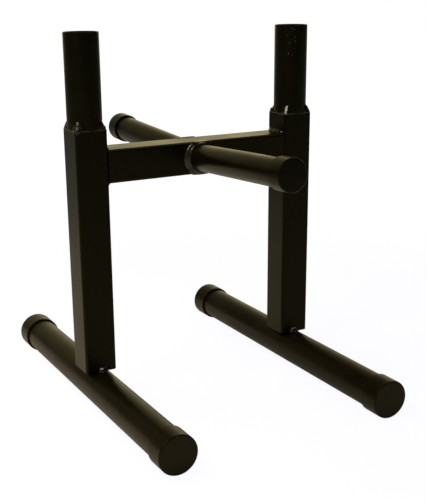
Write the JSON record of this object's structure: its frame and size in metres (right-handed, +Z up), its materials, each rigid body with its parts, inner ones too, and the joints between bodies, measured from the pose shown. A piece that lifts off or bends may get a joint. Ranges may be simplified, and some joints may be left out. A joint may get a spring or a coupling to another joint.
{
  "type": "plate and bar storage rack",
  "caption": "Welded tube rack that stands on round feet: open upright posts hold bars on end, and pegs tilted up from a cross bar hold weight plates.",
  "frame": {"origin": "on the floor, midway between the two feet and midway along them", "axes": "+X across from the left side to the right side as seen from the front, +Y from the front to the rear along the feet and pegs, +Z up"},
  "size_m": [0.3944, 0.536, 0.5367],
  "materials": {
    "foot_paint": "satin black paint",
    "upright_paint": "satin black paint",
    "post_paint": "satin black paint, lightly marked",
    "cross_bar_paint": "satin black paint",
    "peg_paint": "satin black paint",
    "weld_paint": "glossy black paint over a rippled bead",
    "foot_cap_plastic": "matte black moulded plastic",
    "peg_cap_plastic": "matte black moulded plastic"
  },
  "bodies": {
    "root": {"bar_weld_left_bottom": "weld_paint", "bar_weld_left_top": "weld_paint", "bar_weld_right_bottom": "weld_paint", "bar_weld_right_top": "weld_paint", "cross_bar": "cross_bar_paint", "foot_cap_left_front": "foot_cap_plastic", "foot_cap_left_rear": "foot_cap_plastic", "foot_cap_right_front": "foot_cap_plastic", "foot_cap_right_rear": "foot_cap_plastic", "foot_tube_left": "foot_paint", "foot_tube_right": "foot_paint", "foot_weld_left_front": "weld_paint", "foot_weld_left_rear": "weld_paint", "foot_weld_right_front": "weld_paint", "foot_weld_right_rear": "weld_paint", "peg_cap_front": "peg_cap_plastic", "peg_cap_rear": "peg_cap_plastic", "peg_front": "peg_paint", "peg_rear": "peg_paint", "peg_weld_front": "weld_paint", "peg_weld_rear": "weld_paint", "post_left": "post_paint", "post_right": "post_paint", "post_weld_left_front_left": "weld_paint", "post_weld_left_front_right": "weld_paint", "post_weld_left_rear_left": "weld_paint", "post_weld_left_rear_right": "weld_paint", "post_weld_right_front_left": "weld_paint", "post_weld_right_front_right": "weld_paint", "post_weld_right_rear_left": "weld_paint", "post_weld_right_rear_right": "weld_paint", "upright_left": "upright_paint", "upright_right": "upright_paint"}
  },
  "joints": []
}
